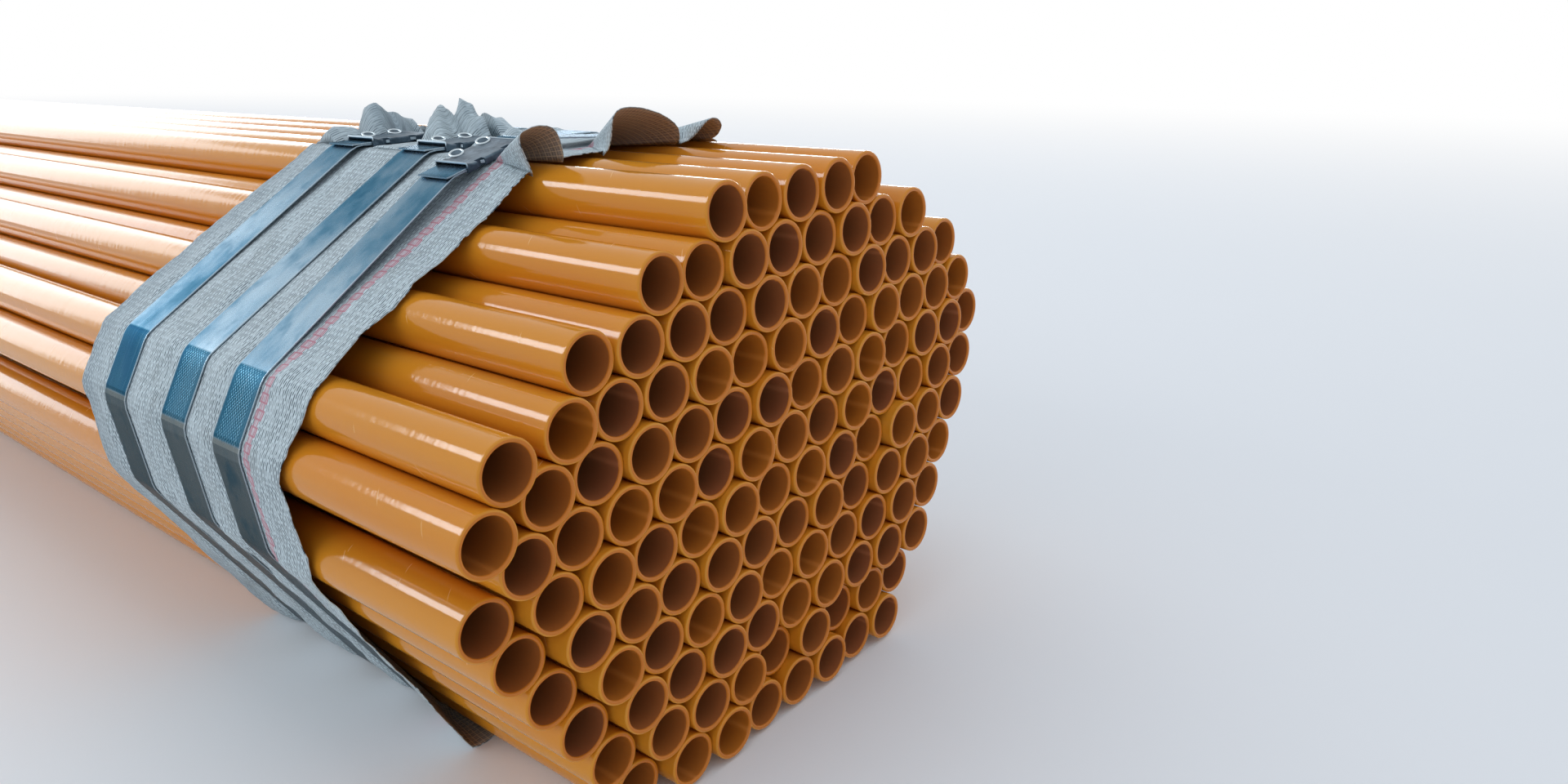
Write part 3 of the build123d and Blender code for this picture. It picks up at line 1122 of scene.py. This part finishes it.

# The underside's grey-brown is painted shade and a painted orange reflection of the pipes; the light grid is the
# weave.
lining, around, along, shade, relief, dirt = weave_cloth(
    "cloth_underside", paint(160, 152, 142), paint(92, 84, 76), 2.0 * MM, 6.0 * MM, 0.5
)
bars = off_middle(around / GRID_PITCH[0]).rise(0.4, 0.47)
bars = bars.larger(off_middle(along / GRID_PITCH[1]).rise(0.42, 0.48))
shade = lining.blend(bars * 0.8, shade, paint(222, 200, 166))
lining.lead(Base_Color=shade, Roughness=0.7 + dirt * 0.15, Normal=relief)
print("the cloth's underside has", len(lining.tree.nodes), "nodes")

# %% [markdown]
# ## The wraps
# A wrap is one long piece of cloth pulled tight by the straps. Between them it puffs up a little, and on top its
# spare width stands up in ruffles: arches that open towards the end, and fins squeezed up between straps.
# A cloth simulation could gather it, but these ruffles have to stand where the photograph shows them, so each is
# placed by its own numbers. The sheet is a grid of columns round the bundle and rows along it. Most columns just
# follow the band line, and each arch has columns of its own, up one side of it and down the other.

# %% Wrap sizes and ruffles
WRAP_START = 141 * MM
WRAP_END = 415 * MM
STRAP_PLACES = (207 * MM, 275 * MM, 361 * MM)
SHOULDER = STRAP_PLACES[0] - STRAP_WIDTH / 2  # the near edge of the first strap
CLOTH_THICKNESS = 0.5 * MM
ARCH_COLUMNS = 24
FINE_COLUMN, PLAIN_COLUMN = 2.4 * MM, 4.5 * MM
FREE_ROW, PRESSED_ROW = 2.8 * MM, 5.0 * MM
EDGE_ROWS = 16
TIGHTEST = 0.12  # the share of its width that an arch keeps where it has closed
SHORT_RUN = 300 * MM  # flat cloth shorter than this moves over as a whole when the arches beside it close
GIVE_WAY = 50 * MM  # and how far from an arch longer cloth still moves over
FLOOR_GAP = 0.6 * MM

# Arches at the edge: across from the top row's first pipe, where the mouth is, half width, height, how soon it
# closes and which way it leans
NEAR_ARCHES = [
    (-5 * MM, 134 * MM, 12 * MM, 29 * MM, 1.0, 0.6),
    (74 * MM, 122 * MM, 33 * MM, 30 * MM, 1.0, 0.8),
    (124 * MM, 112 * MM, 13 * MM, 18 * MM, 1.0, 0.7),
]
PLAIN_ARCHES = [(60 * MM, 125 * MM, 20 * MM, 17 * MM, 1.0, 0.3)]

# Fins between straps: across, place along, half width, height, length, and how steep the front is
NEAR_FINS = [
    (46 * MM, 241 * MM, 15 * MM, 14 * MM, 26 * MM, 12 * MM),
    (26 * MM, 246 * MM, 12 * MM, 10 * MM, 24 * MM, 10 * MM),
    (61 * MM, 316 * MM, 20 * MM, 31 * MM, 50 * MM, 7 * MM),
    (46 * MM, 324 * MM, 18 * MM, 26 * MM, 34 * MM, 12 * MM),
    (32 * MM, 396 * MM, 17 * MM, 29 * MM, 58 * MM, 7 * MM),
    (4 * MM, 398 * MM, 15 * MM, 16 * MM, 30 * MM, 14 * MM),
]
PLAIN_FINS = [(45 * MM, 318 * MM, 18 * MM, 15 * MM, 46 * MM, 9 * MM)]
print("the near wrap has", len(NEAR_ARCHES), "arches and", len(NEAR_FINS), "fins")


# %% Free and loose cloth
def smooth(share):
    """0 up to 0, 1 from 1 on, with a soft start and end between them."""
    share = min(1.0, max(0.0, share))
    return share * share * (3 - 2 * share)


def strap_free(d):
    """0 under a strap and up to 1 halfway between two of them."""
    clear = min(abs(d - place) for place in STRAP_PLACES) - STRAP_WIDTH / 2 - 0.6 * MM
    return smooth(clear / (12 * MM))


LEFT_PIPE = min(pipe_places)
LOOSE_FROM = cloth_line.nearest(LEFT_PIPE[0] - CLOTH_REACH, LEFT_PIPE[1])
LOOSE_TO = cloth_line.length


def loose(s):
    """0 up to the left corner and at the line's end, and 1 halfway, where the cloth hangs loosest."""
    share = min(1.0, max(0.0, (s - LOOSE_FROM) / (LOOSE_TO - LOOSE_FROM)))
    return math.sin(math.pi * share) ** 2


print("the loose cloth runs from", round(LOOSE_FROM, 3), "to", round(LOOSE_TO, 3), "metres")

# %% [markdown]
# ### How far the cloth stands off
# Away from the arches the cloth's height over the band line is a sum: a wavy puff between straps, a slack that
# grows where it hangs, and on top the fins, each a ridge that climbs slowly on one side and falls steeply on the
# other, crumpled a little by noise.


# %% Puffs and fins
def add_fin(lift, s, d, fin, seed):
    """The cloth's height at a place, raised to that of one fin where it stands."""
    centre, place, half, tall, long, front = fin
    away = s - centre
    if abs(d - place) >= half or not -long < away < front:
        return lift
    if away > 0:
        ridge = smooth(1 - away / front)
    else:
        ridge = max(0.0, 1 + away / long) ** 0.8
    bend = place + 3 * MM * math.sin(away * 90.0)
    arch = max(0.0, 1 - (abs(d - bend) / half) ** 1.5)
    crumple = 0.94 + 0.34 * noise.noise(Vector((s * 85.0, d * 105.0, seed + 7)))
    return max(lift, tall * ridge * arch * crumple * strap_free(d) ** 0.5)


def spare_lift(s, d, fins, seed):
    """How far the cloth stands off the band line at a place with no arch."""
    free = strap_free(d)
    grain = noise.noise(Vector((s * 34.0, d * 26.0, seed)))
    fine = noise.noise(Vector((s * 120.0, d * 60.0, seed + 4)))
    lift = free * (1.4 * MM + 2.1 * MM * grain + 0.7 * MM * fine)
    beyond = smooth((d - STRAP_PLACES[-1] - STRAP_WIDTH / 2) / (34 * MM))
    lift += loose(s) * (free * 1.5 * MM + beyond * 4 * MM)
    for fin in fins:
        lift = add_fin(lift, s, d, fin, seed)
    return lift


def edge_lift(s, row, seed):
    """How much further the free edge flares and hangs; row runs from 0 at the edge to 1 at the strap."""
    flare = (1 - row) ** 2 * (1.2 + 1.6 * noise.noise(Vector((s * 30.0, 3.0, seed))))
    return max(0.0, flare) * MM + 8 * MM * (1 - row) * loose(s)


def free_edge(s, seed):
    """Distance of the toothed free edge from the end plane."""
    place = Vector((s * 22.0, seed, 0.0))
    teeth = 1.9 * MM * noise.noise(place * 10.0) + 1.2 * MM * noise.noise(place * 19.0)
    return WRAP_START + 3.2 * MM * noise.noise(place) + teeth


# %% [markdown]
# ### The grid of a wrap
# An arch closes on its way from the edge to the first strap: its feet come together and it sinks. The flat columns
# beside it move over to take up the room, so that no cloth is stretched or folded under.


# %% Grid of a wrap
class Wrap:
    """The grid of one wrap: its columns, and where each one runs at any distance from the end."""

    def __init__(self, end_plane, direction, arches, fins, seed):
        self.end_plane, self.direction, self.seed = end_plane, direction, seed
        self.fins = [(self.on_top(across), *rest) for across, *rest in fins]
        self.arches = sorted((self.on_top(across), *rest) for across, *rest in arches)
        self.centres = [arch[0] for arch in self.arches]
        self.columns = []
        for index, (low, high) in enumerate(zip([0.0, *self.centres], [*self.centres, cloth_line.length])):
            if index:
                turns = [step / (ARCH_COLUMNS - 1) for step in range(ARCH_COLUMNS)]
                self.columns += [("arch", index - 1, turn) for turn in turns]
            self.run_flat(low, high)

    def on_top(self, across):
        return cloth_line.nearest(top_pipe[0] + across, top_pipe[2] + CLOTH_REACH)

    def run_flat(self, low, high):
        """Flat columns from one arch to the next, finer on top of the bundle."""
        s, fine_from, fine_to = low, self.on_top(132 * MM) - 5 * MM, self.on_top(-52 * MM) + 30 * MM
        while s < high - 1 * MM:
            self.columns.append(("flat", s, (low, high)))
            s += FINE_COLUMN if fine_from < s < fine_to else PLAIN_COLUMN

    def feet(self, index, closing):
        """The two feet of an arch when it has closed by some share."""
        centre, mouth, half, tall, soon, lean = self.arches[index]
        half = half * max(TIGHTEST, 1 - closing * soon)
        return centre - half, centre + half

    def arch_spot(self, index, turn, closing, d):
        centre, mouth, half, tall, soon, lean = self.arches[index]
        open_share = max(0.0, 1 - closing * soon)
        low, high = self.feet(index, closing)
        rise = math.sin(math.pi * turn)
        s = (low + high) / 2 - (high - low) / 2 * math.cos(math.pi * turn)
        s += lean * half * rise ** 2 * open_share
        return s, tall * open_share * rise + 0.5 * MM * strap_free(d) * (1 - open_share)

    def flat_spot(self, where, low, high, closing, d):
        """A flat column gives way to the feet of the arches beside it, most of all where it is near them."""
        from_foot = self.feet(self.centres.index(low), closing)[1] if low in self.centres else low
        to_foot = self.feet(self.centres.index(high), closing)[0] if high in self.centres else high
        if high - low < SHORT_RUN:
            s = from_foot + (to_foot - from_foot) * ((where - low) / (high - low))
        else:
            s = where + math.exp(-(where - low) / GIVE_WAY) * (from_foot - low)
            s += math.exp(-(high - where) / GIVE_WAY) * (to_foot - high)
        return s, spare_lift(s, d, self.fins, self.seed)

    def spot(self, column, closing, d):
        """Distance round the bundle and lift of one column."""
        kind, where, extra = column
        if kind == "arch":
            return self.arch_spot(where, extra, closing, d)
        return self.flat_spot(where, *extra, closing, d)

    def mouth(self, column, s):
        """Where a column begins: at the free edge, or drawn out to the mouth of its arch."""
        base = free_edge(s, self.seed)
        if column[0] == "flat":
            return base
        return base + (self.arches[column[1]][1] - base) * math.sin(math.pi * column[2]) ** 0.6

    def place(self, column, kind, row):
        """A column's point on one row: a share of the way to the first strap, or a distance beyond it."""
        if kind == "share":
            start = self.mouth(column, self.spot(column, row, SHOULDER)[0])
            d = start + (SHOULDER - start) * row
            s, lift = self.spot(column, row, d)
            lift += edge_lift(s, row, self.seed) if column[0] == "flat" else 0.0
        else:
            d = row
            s, lift = self.spot(column, 1.0, d)
        x, z, turn = cloth_line.at(s, lift)
        z = max(float(z), FLOOR_GAP)
        return Vector((float(x), self.end_plane + self.direction * d, z)), d


# %% Rows and map of a wrap
def wrap_rows():
    """Rows from the free edge to the first strap as shares up to 1, then distances from the end plane."""
    rows = [("share", step / EDGE_ROWS) for step in range(EDGE_ROWS + 1)]
    d = SHOULDER
    while d < WRAP_END - 1 * MM:
        d += FREE_ROW if strap_free(d) > 0 else PRESSED_ROW
        rows.append(("distance", min(d, WRAP_END)))
    return rows


def upright(place, d):
    """How far a point belongs to cloth that stands up beyond the first strap, from 0 to 1."""
    above = place.z - top_pipe[2] - CLOTH_REACH
    return smooth((above - 4 * MM) / (8 * MM)) if d > STRAP_PLACES[0] else 0.0


def cloth_map(places, spots, wide):
    """Distances on the cloth itself: round its free edge, and along each column over every puff and fin."""
    along_it = list(spots)
    for index in range(len(places) - wide):
        if along_it[index] >= SHOULDER - 0.1 * MM:
            step = (places[index + wide] - places[index]).length
            along_it[index + wide] = along_it[index] + step
    first = np.array([list(place) for place in places[:wide]])[:, [0, 2]]
    steps = np.linalg.norm(np.diff(first, axis=0, append=first[:1]), axis=1)
    return np.concatenate([[0], np.cumsum(steps)]), along_it


print("a wrap has", len(wrap_rows()), "rows")


# %% Weave a wrap
def weave_wrap(name, wrap):
    rows, wide = wrap_rows(), len(wrap.columns)
    found = [wrap.place(column, *row) for row in rows for column in wrap.columns]
    places = [place for place, d in found]
    round_it, along_it = cloth_map(places, [d for place, d in found], wide)
    faces, maps = [], []
    for row in range(len(rows) - 1):
        for column in range(wide):
            other = (column + 1) % wide
            low, high = row * wide, (row + 1) * wide
            corners = [low + column, low + other, high + other, high + column]
            at = [round_it[column], round_it[column + 1], round_it[column + 1], round_it[column]]
            if wrap.direction > 0:
                corners, at = corners[::-1], at[::-1]
            faces.append(corners)
            maps += [(u, along_it[corner]) for u, corner in zip(at, corners)]
    mesh = bpy.data.meshes.new(name)
    mesh.from_pydata(places, [], faces)
    lay_map(mesh, maps)
    mark_points(mesh, "threaded", [1.0] * len(places))
    mark_points(mesh, "standing", [upright(place, d) for place, d in found])
    mesh.shade_smooth()
    mesh.materials.append(outside.material)
    mesh.materials.append(lining.material)
    sheet = bpy.data.objects.new(name, mesh)
    bpy.context.scene.collection.objects.link(sheet)
    wall = sheet.modifiers.new("thickness", "SOLIDIFY")
    wall.thickness, wall.offset, wall.material_offset = CLOTH_THICKNESS, 0.0, 1
    wall.use_even_offset = False
    return sheet, float(round_it[-1])


# %% Make the three wraps
for seed, group in enumerate(GROUPS, 1):
    direction = -1 if group == "far" else 1
    end_plane = seats[group, 1].middle.y - direction * STRAP_PLACES[0]
    arches, fins = (NEAR_ARCHES, NEAR_FINS) if group == "near" else (PLAIN_ARCHES, PLAIN_FINS)
    wrap = Wrap(end_plane, direction, arches, fins, seed * 5.0)
    sheet, length = weave_wrap(f"woven_wrap_{group}", wrap)
    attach(sheet, "root")
    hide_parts(f"wrap_{group}")
    print(sheet.name, "has", len(sheet.data.polygons), "faces and is", round(length, 3), "metres round")

# %% [markdown]
# ## Floor and room
# A plain pale floor carries the bundle and fades into a white room far off, so that no edge shows behind it.
# What the camera and the gloss see of the room is plain white, and its light on the bundle is softer and cooler.

# %% Floor
FLOOR_PALE = paint(240, 241, 242)
FLOOR_REACH = 60
WHITE = (1, 1, 1, 1)


def seen_ray(bench):
    """1 for what the camera, gloss or glass sees, 0 for light on its way to a surface."""
    ray = bench.node("ShaderNodeLightPath").outputs
    seen = Amount(bench, ray["Is Camera Ray"]).larger(Amount(bench, ray["Is Glossy Ray"]))
    return seen.larger(Amount(bench, ray["Is Transmission Ray"]))


floor_mesh = bpy.data.meshes.new("floor")
corners = [(x * FLOOR_REACH, y * FLOOR_REACH, 0) for x, y in ((-1, -1), (1, -1), (1, 1), (-1, 1))]
floor_mesh.from_pydata(corners, [], [(0, 1, 2, 3)])
floor = bpy.data.objects.new("floor", floor_mesh)
bpy.context.scene.collection.objects.link(floor)
ground = Finish("floor", Roughness=0.9)
dust = ground.body_clouds((1.5, 1.5, 1.5))
ground.lead(Base_Color=ground.blend(dust * 0.1, FLOOR_PALE, paint(218, 220, 222)))
far_off = ground.node(
    "ShaderNodeVectorMath", {"operation": "LENGTH"}, {0: ground.object_place((0.55, 0.22, 1.0))}
)
far_off = Amount(ground, far_off.outputs["Value"]).rise(0.7, 2.6)
haze = ground.node("ShaderNodeEmission", {}, {"Color": WHITE, "Strength": 1.0})
floor_mix = ground.node(
    "ShaderNodeMixShader",
    {},
    {0: far_off * seen_ray(ground), 1: ground.shader.outputs[0], 2: haze.outputs[0]},
)
ground.join(ground.out.inputs["Surface"], floor_mix.outputs[0])
floor_mesh.materials.append(ground.material)
print("the floor's finish has", len(ground.tree.nodes), "nodes")

# %% Room
world = bpy.data.worlds.new("room")
world.use_nodes = True
bpy.context.scene.world = world
room = Bench(world.node_tree)
world.node_tree.nodes.clear()
soft_light = room.node("ShaderNodeBackground", {}, {"Color": paint(214, 222, 232), "Strength": 0.9})
plain_white = room.node("ShaderNodeBackground", {}, {"Color": WHITE, "Strength": 1.0})
both = room.node(
    "ShaderNodeMixShader", {}, {0: seen_ray(room), 1: soft_light.outputs[0], 2: plain_white.outputs[0]}
)
room.node("ShaderNodeOutputWorld", {}, {0: both.outputs[0]})
print("the room has", len(room.tree.nodes), "nodes")

# %% [markdown]
# ## Lamps
# Two soft lamps, one overhead and one on the left, give the bundle its shadows and show in no gloss. Three more
# show in gloss only: a long one on the left lays a bright streak along every pipe, a thin one stands low on the
# right, and a wide pale window behind the far end is mirrored in the sides of the pipes that run towards it.

# %% Lamps
GLOSS_TINT = (0.84, 0.93, 1.0)
# Name, place, the point it faces, its two sides and its power in watts
SOFT_LAMPS = (
    ("overhead_lamp", (0.4, -1.5, 4.2), (0, -1.5, 0), (3.0, 8.0), 40),
    ("left_lamp", (-4.2, 0.2, 2.6), (0, -1.0, 0.2), (1.5, 7.0), 45),
)
GLOSS_LAMPS = (
    ("left_streak", (-3.4, 0.2, 3.6), (0, 0.2, 0.3), (1.7, 6.4), 400),
    ("right_streak", (4.5, 2.0, 1.3), (0, 2.0, 0.3), (0.3, 9.0), 150),
    ("end_window", (2.3, 25, 6.3), (2.3, 0, 6.3), (23.6, 12), 2700),
)


def add_lamp(name, place, aim, size, power):
    """An area lamp whose second side runs along y, or stands upright where it faces along y."""
    lamp = bpy.data.lights.new(name, "AREA")
    lamp.shape, lamp.size, lamp.size_y, lamp.energy = "RECTANGLE", *size, power
    holder = bpy.data.objects.new(name, lamp)
    back = (Vector(place) - Vector(aim)).normalized()
    long_side = Vector((0, 1, 0)) if abs(back.y) < 0.5 else Vector((0, 0, 1))
    across = long_side.cross(back).normalized()
    turned = Matrix((across, back.cross(across), back)).transposed().to_4x4()
    holder.matrix_world = Matrix.Translation(place) @ turned
    holder.visible_camera = False
    bpy.context.scene.collection.objects.link(holder)
    return holder


for described in SOFT_LAMPS:
    add_lamp(*described).visible_glossy = False
for described in GLOSS_LAMPS:
    lamp = add_lamp(*described)
    lamp.visible_diffuse = False
    lamp.data.color = GLOSS_TINT
print("the studio has", len(SOFT_LAMPS + GLOSS_LAMPS), "lamps")

# %% [markdown]
# ## View
# The picture is shown with the plain Standard view.

# %% Set the view
view = bpy.context.scene.view_settings
view.view_transform = "Standard"
